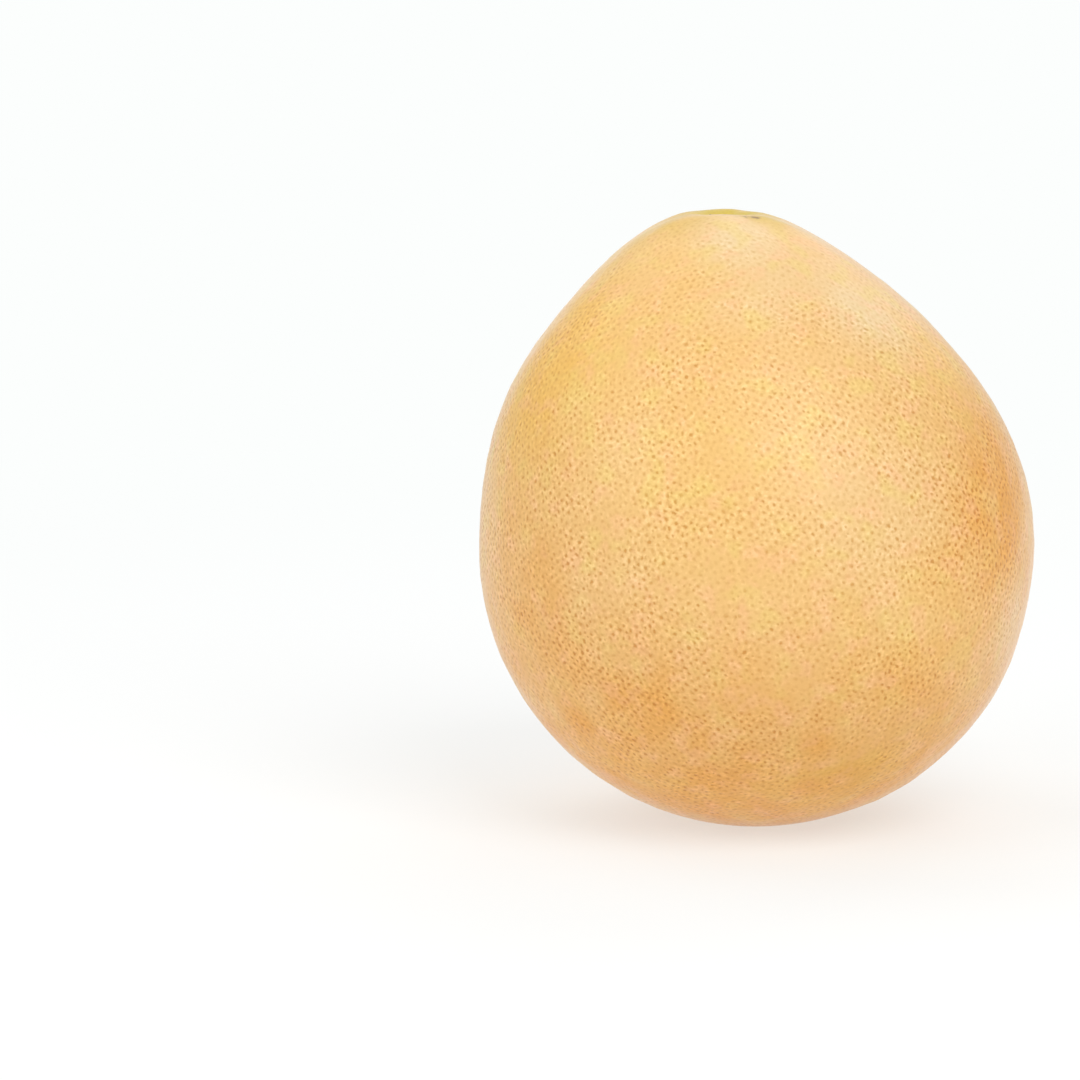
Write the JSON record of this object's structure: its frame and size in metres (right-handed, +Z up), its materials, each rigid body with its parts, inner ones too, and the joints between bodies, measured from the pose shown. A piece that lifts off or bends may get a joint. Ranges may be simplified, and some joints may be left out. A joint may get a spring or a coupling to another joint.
{
  "type": "pomelo",
  "caption": "Whole pomelo, a blunt pear-shaped citrus fruit with a leaning neck, a dented crown with a stalk button, and a flat spot to rest on.",
  "frame": {"origin": "on the surface that the fruit stands on, under the middle of its bounding box", "axes": "+Z up through the fruit towards its stalk end, -X the side that the stalk end leans to, -Y towards the picture's camera"},
  "size_m": [0.1512, 0.15, 0.1664],
  "materials": {
    "rind": "satin"
  },
  "bodies": {
    "root": {"pomelo": "rind"}
  },
  "joints": []
}
